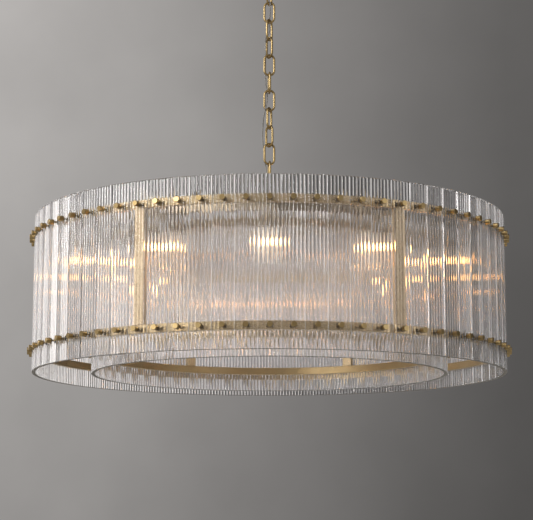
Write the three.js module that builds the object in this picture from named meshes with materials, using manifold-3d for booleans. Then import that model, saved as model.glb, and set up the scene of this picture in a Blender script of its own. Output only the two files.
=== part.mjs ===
// A ring chandelier: two concentric drums of fluted glass panels on brass hoops, twelve lamps
// between the drums, and a spider hung by a link chain from a round ceiling canopy.
// Millimetres, Z up, origin on the ceiling face of the mounting strap. The front faces -Y.

import * as THREE from 'three';
import { mergeVertices } from 'three/addons/utils/BufferGeometryUtils.js';
import Module from 'manifold-3d';

const wasm = await Module();
wasm.setup();

// Clearances
const seatGap = 0.3;
const weld = 2;
const overrun = 1;

// Fluted glass
const outerGlassRadius = 610;
const drumGap = 151;
const outerGlassHeight = 400;
const innerGlassHeight = 373;
const glassWall = 7;
const ribHeight = 2.6;
const panelJoint = 0.5;
const outerPanelCount = 72;
const innerPanelCount = 54;
const flutesPerPanel = 6;
const outerSectorCount = 6;
const innerSectorCount = 6;

// Hoops and posts, flat brass bar
const barHeight = 20;
const barDepth = 12;
const clampInset = 54.5;
const postWidth = 25;
const postCount = 6;

// Lamp ring with its lugs and lampholders
const lampRingStandoff = 47;
const lampRingDepth = 8;
const lampRingSides = 36;
const lampCount = 12;
const lugWidth = 20;
const lugHeight = 8;
const holderRadius = 14;
const holderHeight = 54;
const holderSides = 8;

// Candle bulbs
const bulbBaseRadius = 6.8;
const bulbBaseDepth = 25;
const bulbRadius = 17.5;
const bulbLength = 87;

// Spider, stem and finial
const armWidth = 20;
const armHeight = 8;
const armLift = 1.5;
const hubRadius = 48;
const hubRise = 18;
const hubDrop = 8;
const hubSides = 24;
const stemRadius = 6;
const stemExposed = 80;
const stemSides = 12;
const finialRadius = 17;
const finialHeight = 30;
const finialSides = 16;

// Chain and its two end loops
const linkCount = 11;
const linkLength = 61.6;
const linkWidth = 32;
const wireDiameter = 6;
const linkGap = 0.9;
const wireSides = 8;
const bowSteps = 6;
const loopDiameter = 36;
const loopSteps = 16;
const loopBaseRadius = 9;
const loopBaseHeight = 14;
const loopSocketDepth = 8;
const linkYawDegrees = [65, -2, 60, 122, 184, 98, 2, 67, 129, 191, 98];

// Ceiling parts
const strapLength = 112;
const strapWidth = 22;
const strapThickness = 3;
const slotLength = 20;
const slotWidth = 6;
const slotSpacing = 84;
const bossRadius = 9;
const bossHeight = 9;
const nippleRadius = 5;
const canopyRadius = 75;
const canopyDepth = 30;
const canopyRim = 7;
const canopyWall = 1.6;
const canopySides = 30;
const collarRadius = 15;
const collarHeight = 10;

// Lamp cord, woven beside the chain
const cordDiameter = 3.2;
const cordBoreRadius = 2.5;
const cordSides = 8;
const cordSteps = 66;

// Levels of the lamp body, measured up from the lower rim of the glass
const lowerHoopLevel = clampInset;
const outerUpperHoopLevel = outerGlassHeight - clampInset;
const innerUpperHoopLevel = innerGlassHeight - clampInset;
const lugLevel = outerUpperHoopLevel;
const holderTop = lugLevel + weld;
const holderMouth = lugLevel - holderHeight;
const armLevel = innerGlassHeight + armLift;
const hubTop = armLevel + hubRise;
const hubBottom = armLevel - hubDrop;
const loopRingRadius = (loopDiameter - wireDiameter) / 2;
const hubLoopBottom = hubTop + stemExposed;
const hubRingCentre = hubLoopBottom + loopBaseHeight - weld + loopDiameter / 2;

// Levels of the chain, measured down from the ceiling
const collarTop = -canopyDepth - seatGap;
const canopyLoopTop = collarTop - collarHeight - seatGap;
const canopyRingCentre = canopyLoopTop - loopBaseHeight + weld - loopDiameter / 2;
const linkPitch = linkLength - 2 * wireDiameter - linkGap;
const firstPivot = canopyRingCentre - loopRingRadius;
const lampPivot = firstPivot - linkCount * linkPitch;
const lampLevel = lampPivot + wireDiameter + linkGap - loopRingRadius - hubRingCentre;

// Radii that follow from the glass
const innerGlassRadius = outerGlassRadius - drumGap;
const lampRingRadius = innerGlassRadius + lampRingStandoff;
const outerHoopFace = outerGlassRadius - ribHeight - glassWall - seatGap;
const innerHoopFace = innerGlassRadius - ribHeight - glassWall - seatGap;
const lampRadius = lampRingRadius + holderRadius + lugHeight / 2;
const lampRingTop = outerUpperHoopLevel + barHeight / 2;

const radians = THREE.MathUtils.degToRad;

// Finishes
function finish(colour, roughness, metalness) {
  return new THREE.MeshStandardMaterial({ color: colour, roughness, metalness });
}

const brass = () => finish(0xb8935a, 0.35, 1);
const agedBrass = () => finish(0xa07c48, 0.4, 1);
const zincSteel = () => finish(0x9a9a98, 0.5, 1);
const clearGlass = () => finish(0xe6e6ea, 0.08, 0);
const warmLampGlass = () => finish(0xffe2b8, 0.2, 0);
const cordSleeve = () => finish(0x86837d, 0.4, 0);

// A solid for joining and cutting, and back to a geometry
function toSolid(geometry) {
  const bare = geometry.index ? geometry.toNonIndexed() : geometry.clone();
  bare.deleteAttribute('normal');
  bare.deleteAttribute('uv');
  const merged = mergeVertices(bare, seatGap / 1000);
  const vertProperties = new Float32Array(merged.attributes.position.array);
  const triVerts = new Uint32Array(merged.index.array);
  return new wasm.Manifold(new wasm.Mesh({ numProp: 3, vertProperties, triVerts }));
}

function toGeometry(solid) {
  const mesh = solid.getMesh();
  const geometry = new THREE.BufferGeometry();
  geometry.setAttribute('position', new THREE.BufferAttribute(mesh.vertProperties, 3));
  geometry.setIndex(new THREE.BufferAttribute(mesh.triVerts, 1));
  geometry.computeVertexNormals();
  return geometry;
}

function joinAll(geometries) {
  return geometries.map(toSolid).reduce((all, next) => all.add(next));
}

// A named mesh
function piece(name, geometry, material) {
  const mesh = new THREE.Mesh(geometry, material);
  mesh.name = name;
  return mesh;
}

// A turned body from [radius, level] points, with its first corner half a side from the front
function turned(points, sides) {
  const outline = points.map(([radius, level]) => new THREE.Vector2(radius, level));
  const half = Math.PI / sides;
  return new THREE.LatheGeometry(outline, sides, half).rotateX(Math.PI / 2);
}

function cornerRadius(flatRadius, sides) {
  return flatRadius / Math.cos(Math.PI / sides);
}

function tube(radius, boreRadius, bottom, top, sides) {
  return turned([
    [boreRadius, bottom],
    [radius, bottom],
    [radius, top],
    [boreRadius, top],
    [boreRadius, bottom],
  ], sides);
}

function rod(radius, bottom, top, sides) {
  return turned([[0, bottom], [radius, bottom], [radius, top], [0, top]], sides);
}

// A flat bar hoop whose faces line up with the panels
function hoopGeometry(faceRadius, depth, height, level, sides) {
  const outside = cornerRadius(faceRadius, sides);
  const inside = cornerRadius(faceRadius - depth, sides);
  return tube(outside, inside, level - height / 2, level + height / 2, sides);
}

// A block whose near face points to the front, set at a radius from the axis
function radialBlock(width, innerRadius, outerRadius, bottom, top, degrees) {
  const depth = outerRadius - innerRadius;
  const block = new THREE.BoxGeometry(width, depth, top - bottom);
  block.translate(0, -(innerRadius + outerRadius) / 2, (bottom + top) / 2);
  return block.rotateZ(radians(degrees));
}

// A run of flat panels with rounded flutes drawn as crest and groove lines
function fluteSector(crestRadius, height, panelCount, first, count) {
  const step = 2 * Math.PI / panelCount;
  const groove = crestRadius - ribHeight;
  const back = groove - glassWall;
  const panelWidth = 2 * groove * Math.tan(step / 2);
  const backWidth = 2 * back * Math.tan(step / 2);
  const place = (angle, along, out) => new THREE.Vector2(
    out * Math.sin(angle) + along * Math.cos(angle),
    -out * Math.cos(angle) + along * Math.sin(angle),
  );
  const outline = [];
  for (let panel = 0; panel < count; panel += 1) {
    const angle = (first + panel) * step;
    for (let line = 0; line < 2 * flutesPerPanel; line += 1) {
      const trim = panel === 0 && line === 0 ? panelJoint / 2 : 0;
      const along = panelWidth * (line / (2 * flutesPerPanel) - 0.5) + trim;
      outline.push(place(angle, along, line % 2 === 0 ? groove : crestRadius));
    }
  }
  const last = (first + count - 1) * step;
  outline.push(place(last, (panelWidth - panelJoint) / 2, groove));
  outline.push(place(last, (backWidth - panelJoint) / 2, back));
  for (let panel = count - 1; panel > 0; panel -= 1) {
    outline.push(place((first + panel) * step, -backWidth / 2, back));
  }
  outline.push(place(first * step, (panelJoint - backWidth) / 2, back));
  return new THREE.ExtrudeGeometry(new THREE.Shape(outline), { depth: height, bevelEnabled: false });
}

function glassDrum(name, crestRadius, height, panelCount, sectorCount) {
  const drum = new THREE.Group();
  const panels = panelCount / sectorCount;
  for (let sector = 0; sector < sectorCount; sector += 1) {
    const first = Math.round((sector - 0.5) * panels) + 1;
    const geometry = fluteSector(crestRadius, height, panelCount, first, panels);
    drum.add(piece(`${name}_${sector + 1}`, geometry, clearGlass()));
  }
  return drum;
}

// Two hoops and six upright posts make the cage of one drum
function cage(name, faceRadius, upperLevel, sides) {
  const group = new THREE.Group();
  const hoop = (level) => hoopGeometry(faceRadius, barDepth, barHeight, level, sides);
  group.add(piece(`${name}_top_hoop`, hoop(upperLevel), brass()));
  group.add(piece(`${name}_bottom_hoop`, hoop(lowerHoopLevel), brass()));
  const bottom = lowerHoopLevel + barHeight / 2 + seatGap;
  const top = upperLevel - barHeight / 2 - seatGap;
  for (let post = 0; post < postCount; post += 1) {
    const degrees = 360 / postCount * (post + 0.5);
    const bar = radialBlock(postWidth, faceRadius - barDepth, faceRadius, bottom, top, degrees);
    group.add(piece(`${name}_post_${post + 1}`, bar, brass()));
  }
  return group;
}

// The ring that carries the lamps, with a lug over each lampholder. Every second lug runs on
// to the outer hoop and carries the outer cage.
function lampRing() {
  const bodies = [hoopGeometry(lampRingRadius, lampRingDepth, barHeight, outerUpperHoopLevel, lampRingSides)];
  const hoopInside = outerHoopFace - barDepth - seatGap;
  for (let lamp = 0; lamp < lampCount; lamp += 1) {
    const degrees = 360 / lampCount * lamp;
    const reach = lamp % 2 === 1 ? hoopInside : lampRadius + holderRadius;
    const root = lampRingRadius - weld;
    bodies.push(radialBlock(lugWidth, root, reach, lugLevel, lugLevel + lugHeight, degrees));
    bodies.push(lampholder().translate(0, -lampRadius, 0).rotateZ(radians(degrees)));
  }
  return piece('lamp_ring', toGeometry(joinAll(bodies)), brass());
}

// A turned cup, open below, that the bulb's base goes into
function lampholder() {
  const bore = bulbBaseRadius + seatGap;
  const boreTop = holderMouth + bulbBaseDepth + seatGap;
  return turned([
    [0, boreTop],
    [bore, boreTop],
    [bore, holderMouth],
    [holderRadius, holderMouth],
    [holderRadius, holderTop],
    [0, holderTop],
  ], holderSides);
}

// A candle bulb that hangs tip down, widest a little above its middle
function bulb(name, degrees) {
  const profileShares = [[0.6, 0.12], [1, 0.36], [0.9, 0.62], [0.5, 0.88]];
  const points = [[0, holderMouth - bulbLength]];
  for (const [radiusShare, dropShare] of [...profileShares].reverse()) {
    points.push([bulbRadius * radiusShare, holderMouth - bulbLength * dropShare]);
  }
  points.push([bulbBaseRadius, holderMouth]);
  points.push([bulbBaseRadius, holderMouth + bulbBaseDepth]);
  points.push([0, holderMouth + bulbBaseDepth]);
  const geometry = turned(points, holderSides).translate(0, -lampRadius, 0);
  return piece(name, geometry.rotateZ(radians(degrees)), warmLampGlass());
}

// The hub with six arms over the inner glass. Each arm has a tab down to the inner hoop
// and a tab down to the lamp ring.
function spider() {
  const hub = turned([
    [0, hubBottom],
    [hubRadius * 0.7, hubBottom],
    [hubRadius, armLevel - weld],
    [hubRadius, armLevel + armHeight + weld],
    [hubRadius * 0.55, hubTop - weld],
    [hubRadius * 0.4, hubTop],
    [0, hubTop],
  ], hubSides);
  const bodies = [hub];
  const innerTabTop = armLevel + weld;
  const innerTabBottom = innerUpperHoopLevel + barHeight / 2 + seatGap;
  const outerTabBottom = lampRingTop + seatGap;
  const lampRingInside = lampRingRadius - lampRingDepth;
  const innerCageInside = innerHoopFace - barDepth;
  for (let arm = 0; arm < postCount; arm += 1) {
    const turn = 360 / postCount * (arm + 0.5);
    const armTop = armLevel + armHeight;
    bodies.push(radialBlock(armWidth, hubRadius / 2, lampRingRadius, armLevel, armTop, turn));
    bodies.push(radialBlock(armWidth, innerCageInside, innerHoopFace, innerTabBottom, innerTabTop, turn));
    bodies.push(radialBlock(armWidth, lampRingInside, lampRingRadius, outerTabBottom, innerTabTop, turn));
  }
  const bore = rod(stemRadius + seatGap, hubBottom - overrun, hubTop + overrun, stemSides);
  return piece('arm_spider', toGeometry(joinAll(bodies).subtract(toSolid(bore))), brass());
}

function finial() {
  const top = hubBottom - seatGap;
  const bottom = top - finialHeight;
  const socket = stemRadius + seatGap;
  const socketEnd = hubBottom - finialHeight / 3 - seatGap;
  const shape = turned([
    [0, bottom],
    [finialRadius * 0.3, bottom + finialHeight * 0.05],
    [finialRadius * 0.5, bottom + finialHeight * 0.25],
    [finialRadius * 0.35, bottom + finialHeight * 0.4],
    [finialRadius, bottom + finialHeight * 0.65],
    [finialRadius, top],
    [0, top],
  ], finialSides);
  const bore = rod(socket, socketEnd, top + overrun, stemSides);
  return piece('hub_finial', toGeometry(toSolid(shape).subtract(toSolid(bore))), agedBrass());
}

// The centre line of a link: two half-circle bows and two straight sides
class LinkCurve extends THREE.Curve {
  constructor(length, width) {
    super();
    this.bow = width / 2;
    this.side = length - width;
    this.parts = this.side > 0 ? 2 * bowSteps + 2 : loopSteps;
  }

  getUtoTmapping(u) {
    return u;
  }

  getPoint(t, target = new THREE.Vector3()) {
    const turn = (angle, rise) => target.set(
      this.bow * Math.cos(angle),
      0,
      this.bow * Math.sin(angle) + rise,
    );
    if (this.side === 0) {
      return turn(2 * Math.PI * t, 0);
    }
    const at = (t - Math.floor(t)) * this.parts;
    const half = this.side / 2;
    if (at < bowSteps) {
      return turn(Math.PI * at / bowSteps, half);
    }
    if (at < bowSteps + 1) {
      return target.set(-this.bow, 0, half - this.side * (at - bowSteps));
    }
    if (at < 2 * bowSteps + 1) {
      return turn(Math.PI + Math.PI * (at - bowSteps - 1) / bowSteps, -half);
    }
    return target.set(this.bow, 0, this.side * (at - 2 * bowSteps - 1) - half);
  }

  getTangent(t, target = new THREE.Vector3()) {
    const at = (t - Math.floor(t)) * this.parts;
    let angle = 2 * Math.PI * t;
    if (this.side > 0) {
      angle = Math.PI * Math.min(at, bowSteps) / bowSteps;
      if (at > bowSteps + 1) {
        angle = Math.PI + Math.PI * Math.min(at - bowSteps - 1, bowSteps) / bowSteps;
      }
    }
    return target.set(-Math.sin(angle), 0, Math.cos(angle));
  }
}

// A round wire bent into a closed ring, with the two end caps left off so that its ends join
function closedWire(curve) {
  const section = new THREE.Shape();
  for (let corner = 0; corner < wireSides; corner += 1) {
    const angle = 2 * Math.PI * (corner + 0.5) / wireSides;
    const x = wireDiameter / 2 * Math.cos(angle);
    const y = wireDiameter / 2 * Math.sin(angle);
    corner === 0 ? section.moveTo(x, y) : section.lineTo(x, y);
  }
  const swept = new THREE.ExtrudeGeometry(section, { steps: curve.parts, extrudePath: curve });
  const sides = swept.groups.find((group) => group.materialIndex === 1);
  const corners = swept.attributes.position.array.slice(3 * sides.start, 3 * (sides.start + sides.count));
  const wall = new THREE.BufferGeometry();
  wall.setAttribute('position', new THREE.BufferAttribute(corners, 3));
  const joined = mergeVertices(wall, seatGap / 100);
  joined.computeVertexNormals();
  return joined;
}

function chain() {
  const group = new THREE.Group();
  const geometry = () => closedWire(new LinkCurve(linkLength - wireDiameter, linkWidth - wireDiameter));
  for (let link = 0; link < linkCount; link += 1) {
    const mesh = piece(`chain_link_${String(link + 1).padStart(2, '0')}`, geometry(), brass());
    const lowerBow = firstPivot - (link + 1) * linkPitch;
    mesh.position.z = lowerBow + (linkLength - wireDiameter) / 2;
    mesh.rotation.z = radians(linkYawDegrees[link]);
    group.add(mesh);
  }
  return group;
}

// A ring on a short base, with a bore for the cord. Drawn with the ring on top and the base's
// lower face at zero.
function loopSolid() {
  const ringWidth = loopDiameter - wireDiameter;
  const ring = closedWire(new LinkCurve(ringWidth, ringWidth));
  ring.translate(0, 0, loopBaseHeight - weld + loopDiameter / 2);
  const base = turned([
    [0, 0],
    [loopBaseRadius, 0],
    [loopBaseRadius, loopBaseHeight * 0.7],
    [loopBaseRadius * 0.7, loopBaseHeight],
    [0, loopBaseHeight],
  ], stemSides);
  return toSolid(ring).add(toSolid(base));
}

// The hub loop on its stem. The stem runs down through the hub into the finial's socket.
function hubLoop() {
  const stemBottom = hubBottom - finialHeight / 3 - hubLoopBottom;
  const stem = rod(stemRadius, stemBottom, weld, stemSides);
  const boreTop = loopBaseHeight + wireDiameter + overrun;
  const bore = rod(cordBoreRadius, stemBottom - overrun, boreTop, stemSides);
  const solid = loopSolid().add(toSolid(stem)).subtract(toSolid(bore));
  const mesh = piece('hub_loop', toGeometry(solid), brass());
  mesh.position.z = hubLoopBottom;
  return mesh;
}

// The canopy loop has a socket for the nipple
function canopyLoop() {
  const boreTop = loopBaseHeight + wireDiameter + overrun;
  const bore = rod(cordBoreRadius, loopSocketDepth - overrun, boreTop, stemSides);
  const socket = rod(nippleRadius + seatGap, -overrun, loopSocketDepth, stemSides);
  const solid = loopSolid().subtract(toSolid(bore)).subtract(toSolid(socket));
  const mesh = piece('canopy_loop', toGeometry(solid), brass());
  mesh.position.z = canopyLoopTop;
  mesh.rotation.x = Math.PI;
  return mesh;
}

// The strap that is screwed to the ceiling box, with the threaded nipple fixed in its boss
function strap() {
  const outline = new THREE.Shape();
  const straight = (strapLength - strapWidth) / 2;
  outline.absarc(straight, 0, strapWidth / 2, -Math.PI / 2, Math.PI / 2);
  outline.absarc(-straight, 0, strapWidth / 2, Math.PI / 2, 3 * Math.PI / 2);
  for (const side of [-1, 1]) {
    const slot = new THREE.Path();
    const middle = side * slotSpacing / 2;
    const run = (slotLength - slotWidth) / 2;
    slot.absarc(middle + run, 0, slotWidth / 2, -Math.PI / 2, Math.PI / 2);
    slot.absarc(middle - run, 0, slotWidth / 2, Math.PI / 2, 3 * Math.PI / 2);
    outline.holes.push(slot);
  }
  const settings = { depth: strapThickness, bevelEnabled: false, curveSegments: 4 };
  const bar = new THREE.ExtrudeGeometry(outline, settings);
  bar.translate(0, 0, -strapThickness);
  const boss = rod(bossRadius, -strapThickness - bossHeight, -strapThickness / 2, stemSides);
  const nippleBottom = canopyLoopTop - loopSocketDepth + seatGap;
  const nipple = rod(nippleRadius, nippleBottom, -strapThickness / 2, stemSides);
  const bore = rod(cordBoreRadius, nippleBottom - overrun, -strapThickness - bossHeight, stemSides);
  const solid = joinAll([bar, boss, nipple]).subtract(toSolid(bore));
  return piece('ceiling_strap', toGeometry(solid), zincSteel());
}

// A shallow spun cup, open to the ceiling
function canopy() {
  const hole = nippleRadius + seatGap;
  const floor = -canopyDepth;
  const shoulder = canopyRadius * 0.86;
  const flat = canopyRadius * 0.4;
  return piece('ceiling_canopy', turned([
    [hole, floor],
    [flat, floor],
    [shoulder, floor * 0.62],
    [canopyRadius, -canopyRim],
    [canopyRadius, 0],
    [canopyRadius - canopyWall, 0],
    [canopyRadius - canopyWall, -canopyRim + canopyWall / 2],
    [shoulder - canopyWall / 2, floor * 0.62 + canopyWall],
    [flat, floor + canopyWall],
    [hole, floor + canopyWall],
    [hole, floor],
  ], canopySides), brass());
}

// The knurled ring that holds the canopy up
function collar() {
  const bore = nippleRadius + seatGap;
  const bottom = collarTop - collarHeight;
  return piece('screw_collar', turned([
    [bore, bottom],
    [collarRadius * 0.8, bottom],
    [collarRadius, bottom + collarHeight * 0.25],
    [collarRadius, bottom + collarHeight * 0.75],
    [collarRadius * 0.9, collarTop],
    [bore, collarTop],
    [bore, bottom],
  ], stemSides), brass());
}

// The cord's route: out of the nipple's bore, through the second link to the back, down the
// left side, forward through the seventh link, and behind the last links to the hub loop
const cordRoute = [
  [0, 0, -32],
  [0, 0, -46],
  [0, 0, -57],
  [1.2, -2.4, -65],
  [2.6, -6.2, -74],
  [2.8, -7.8, -86],
  [2.2, -7.8, -104],
  [2.2, -7.6, -126],
  [2.6, -5.8, -143],
  [2.6, -0.8, -157],
  [1.2, 4.6, -168],
  [-1, 8.8, -178],
  [-0.4, 10.8, -190],
  [0.2, 11.4, -202],
  [-1.2, 11, -209],
  [-4.8, 9, -217],
  [-9.4, 5.2, -226],
  [-10.4, 4, -240],
  [-9.8, 4.6, -266],
  [-10.4, 6.4, -290],
  [-10.4, 6.8, -318],
  [-9.6, 6.8, -346],
  [-7, 6, -370],
  [-5.4, 2.8, -388],
  [-6.4, -2.6, -404],
  [-10, -5.6, -421],
  [-13.6, -4.8, -437],
  [-16.4, -1.6, -455],
  [-18, 1.4, -483],
  [-17.8, 3.2, -508],
  [-15.6, 4.8, -530],
  [-12.2, 6.4, -556],
  [-9.4, 7, -582],
  [-7.6, 7, -605],
  [-6.2, 6, -620],
  [-2.2, 2, -632.5],
  [-0.2, 0.2, -641],
  [0, 0, -649],
  [0, 0, -660],
  [0, 0, -672],
];

function cord() {
  const route = new THREE.CatmullRomCurve3(cordRoute.map((point) => new THREE.Vector3(...point)));
  const section = new THREE.Shape();
  for (let corner = 0; corner < cordSides; corner += 1) {
    const angle = 2 * Math.PI * corner / cordSides;
    const x = cordDiameter / 2 * Math.cos(angle);
    const y = cordDiameter / 2 * Math.sin(angle);
    corner === 0 ? section.moveTo(x, y) : section.lineTo(x, y);
  }
  const geometry = new THREE.ExtrudeGeometry(section, { steps: cordSteps, extrudePath: route });
  return piece('lamp_cord', geometry, cordSleeve());
}

// The lamp body, drawn from the lower rim of the glass and hung on the chain
function lampBody() {
  const body = new THREE.Group();
  body.add(hubLoop());
  body.add(spider());
  body.add(finial());
  body.add(cage('outer', outerHoopFace, outerUpperHoopLevel, outerPanelCount));
  body.add(cage('inner', innerHoopFace, innerUpperHoopLevel, innerPanelCount));
  body.add(lampRing());
  body.add(glassDrum('outer_glass', outerGlassRadius, outerGlassHeight, outerPanelCount, outerSectorCount));
  body.add(glassDrum('inner_glass', innerGlassRadius, innerGlassHeight, innerPanelCount, innerSectorCount));
  for (let lamp = 0; lamp < lampCount; lamp += 1) {
    body.add(bulb(`lamp_bulb_${String(lamp + 1).padStart(2, '0')}`, 360 / lampCount * lamp));
  }
  body.position.z = lampLevel;
  return body;
}

const chandelier = new THREE.Group();
chandelier.add(strap());
chandelier.add(canopy());
chandelier.add(collar());
chandelier.add(canopyLoop());
chandelier.add(chain());
chandelier.add(cord());
chandelier.add(lampBody());

export default chandelier;
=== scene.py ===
"""The looks of a ring chandelier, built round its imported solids. Metres, Z up, the front faces -Y."""

import math

import bmesh
import bpy
from mathutils import Matrix, Vector

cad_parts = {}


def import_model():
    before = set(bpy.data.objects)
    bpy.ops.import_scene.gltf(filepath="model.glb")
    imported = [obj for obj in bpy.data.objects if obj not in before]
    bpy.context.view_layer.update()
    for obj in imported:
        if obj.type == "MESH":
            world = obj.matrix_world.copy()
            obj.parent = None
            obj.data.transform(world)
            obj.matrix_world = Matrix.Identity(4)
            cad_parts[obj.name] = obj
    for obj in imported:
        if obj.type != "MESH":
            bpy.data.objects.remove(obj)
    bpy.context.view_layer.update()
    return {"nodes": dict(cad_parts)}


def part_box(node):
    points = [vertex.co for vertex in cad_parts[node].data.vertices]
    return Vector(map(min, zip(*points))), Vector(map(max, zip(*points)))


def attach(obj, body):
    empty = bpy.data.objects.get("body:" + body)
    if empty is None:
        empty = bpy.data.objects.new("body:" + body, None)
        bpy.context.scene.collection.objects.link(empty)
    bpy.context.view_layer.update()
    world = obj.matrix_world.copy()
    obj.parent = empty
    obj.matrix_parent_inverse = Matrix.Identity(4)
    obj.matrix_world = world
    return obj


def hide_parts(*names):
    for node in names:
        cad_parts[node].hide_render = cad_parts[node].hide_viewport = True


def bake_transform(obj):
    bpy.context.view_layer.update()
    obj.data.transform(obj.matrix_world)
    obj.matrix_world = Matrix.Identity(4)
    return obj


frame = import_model()

MM = 0.001

# Fluted glass
RIB_HEIGHT = 1.8 * MM
GLASS_WALL = 7.8 * MM
PANEL_JOINT = 0.8 * MM
PANEL_EDGE = 0.6 * MM
GROUND_BAND = 4 * MM
FLUTES = 6
RIB_STEPS = 8
OUTER_PANELS = 72
INNER_PANELS = 54
OUTER_SECTORS = 6
INNER_SECTORS = 6
GLASS_IOR = 1.49
GLASS_SHADOW_TINT = (0.93, 0.94, 0.95)

# Brass cage
SEAT_GAP = 0.3 * MM
BAR_HEIGHT = 20 * MM
BAR_DEPTH = 12 * MM
BAR_EDGE = 0.8 * MM
POSTS = 6
KNOB_RADIUS = 6.5 * MM
KNOB_LENGTH = 12.6 * MM
KNOB_EDGE = 0.6 * MM
KNOB_FOOT = 0.5 * MM
WASHER_THICKNESS = 0.8 * MM
WASHER_REACH = 0.6 * MM
WASHER_EDGE = 0.15 * MM
STUD_RADIUS = 2.4 * MM
STEPS_PER_PANEL = 3

# Lamps
LAMPS = 12
LAMP_RING_DEPTH = 8 * MM
LUG_WIDTH = 20 * MM
LUG_HEIGHT = 8 * MM
OVERLAP = 1 * MM
HOLDER_RADIUS = 14 * MM
HOLDER_HEIGHT = 54 * MM
HOLDER_LIP = 7 * MM
HOLDER_EDGE = 1 * MM
HOLDER_SOCKET = 8 * MM
BULB_RADIUS = 17.2 * MM
BULB_LENGTH = 87 * MM
BULB_NECK = 6.6 * MM
BULB_SEAT = 6 * MM
BULB_GLOW = 16

# Spider and stem
ARM_WIDTH = 20 * MM
ARM_HEIGHT = 8 * MM
ARM_LIFT = 1.5 * MM
HUB_RADIUS = 48 * MM
HUB_EDGE = 1 * MM
STEM_RADIUS = 6 * MM
STEM_BORE = 2.5 * MM
STEM_EDGE = 0.3 * MM
FINIAL_RADIUS = 17 * MM

# Chain
LINKS = 11
WIRE_RADIUS = 3 * MM
WIRE_SHARE = 0.985  # so that the weld stands out
WELD_WIDTH = 1 * MM
WELD_EDGE = 0.1 * MM
LINK_LENGTH = 61.6 * MM
LINK_WIDTH = 32 * MM
LINK_PITCH = 48.7 * MM
LINK_YAWS = [65, -2, 60, 122, 184, 98, 2, 67, 129, 191, 98]
LOOP_WIDTH = 36 * MM
LOOP_BASE_RADIUS = 9 * MM
LOOP_BASE_HEIGHT = 14 * MM
LOOP_BASE_EDGE = 0.6 * MM
LOOP_WELD = 2 * MM

# Cord
CORD_DIAMETER = 3.2 * MM

# Ceiling parts
CEILING_BORE = 5.3 * MM
CANOPY_RADIUS = 75 * MM
CANOPY_WALL = 1.4 * MM
COLLAR_RADIUS = 14.6 * MM
COLLAR_FOOT_RADIUS = 12 * MM
COLLAR_TOP_RADIUS = 13.4 * MM
COLLAR_EDGE = 2.2 * MM
KNURL_SHARE = 0.97
SCREW_SPACING = 84 * MM
SCREW_RADIUS = 2 * MM
SCREW_HEAD_RADIUS = 5 * MM
SCREW_HEAD_HEIGHT = 2.5 * MM
SCREW_SEAT = 3.1 * MM

# The photograph: its size, its focal length and the axis of the object in pixels
PHOTO_WIDTH = 533
FOCAL_PIXELS = 1669.3
AXIS_PIXEL = 269.4

# The camera: its place in metres, its tilt in degrees and its sensor in millimetres
CAMERA_DISTANCE = 4.313
CAMERA_BELOW_RIM = 0.4244
CAMERA_PITCH = 9.574
SENSOR_WIDTH = 36

# Floor
FLOOR_DROP = 1.6
FLOOR_REACH = 60


def low(node):
    """Lowest corner of a solid."""
    return Vector(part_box(node)[0])


def high(node):
    """Highest corner of a solid."""
    return Vector(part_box(node)[1])


# Places that come from the frame
RIM = low("outer_glass_1").z
OUTER_TOP = high("outer_glass_1").z
INNER_TOP = high("inner_glass_1").z
OUTER_CREST = -low("outer_glass_1").y
INNER_CREST = -low("inner_glass_1").y
LOWER_HOOP = (low("outer_bottom_hoop").z + high("outer_bottom_hoop").z) / 2
OUTER_UPPER_HOOP = (low("outer_top_hoop").z + high("outer_top_hoop").z) / 2
INNER_UPPER_HOOP = (low("inner_top_hoop").z + high("inner_top_hoop").z) / 2
OUTER_HOOP_FACE = OUTER_CREST - RIB_HEIGHT - GLASS_WALL - SEAT_GAP
INNER_HOOP_FACE = INNER_CREST - RIB_HEIGHT - GLASS_WALL - SEAT_GAP
HOLDER_MOUTH = low("lamp_ring").z
LAMP_RADIUS = -(low("lamp_bulb_01").y + high("lamp_bulb_01").y) / 2
LAMP_RING_FACE = LAMP_RADIUS - HOLDER_RADIUS - LUG_HEIGHT / 2
FIRST_PIVOT = low("canopy_loop").z + WIRE_RADIUS
HUB_LOOP_BASE = high("hub_loop").z - LOOP_WIDTH - LOOP_BASE_HEIGHT + LOOP_WELD


def pivot(index):
    """Level of a joint, where 0 is the first link's and 11 the lamp's."""
    return FIRST_PIVOT - index * LINK_PITCH


def make_camera():
    """The camera stands below the glass and looks up at it, as in the photograph."""
    data = bpy.data.cameras.new("camera")
    data.sensor_width = SENSOR_WIDTH
    data.lens = FOCAL_PIXELS * SENSOR_WIDTH / PHOTO_WIDTH
    camera = bpy.data.objects.new("camera", data)
    bpy.context.scene.collection.objects.link(camera)
    aside = (AXIS_PIXEL - PHOTO_WIDTH / 2) * CAMERA_DISTANCE / FOCAL_PIXELS
    camera.location = (-aside, -CAMERA_DISTANCE, RIM - CAMERA_BELOW_RIM)
    camera.rotation_euler = (math.radians(90 + CAMERA_PITCH), 0, 0)
    bpy.context.scene.camera = camera


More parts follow.
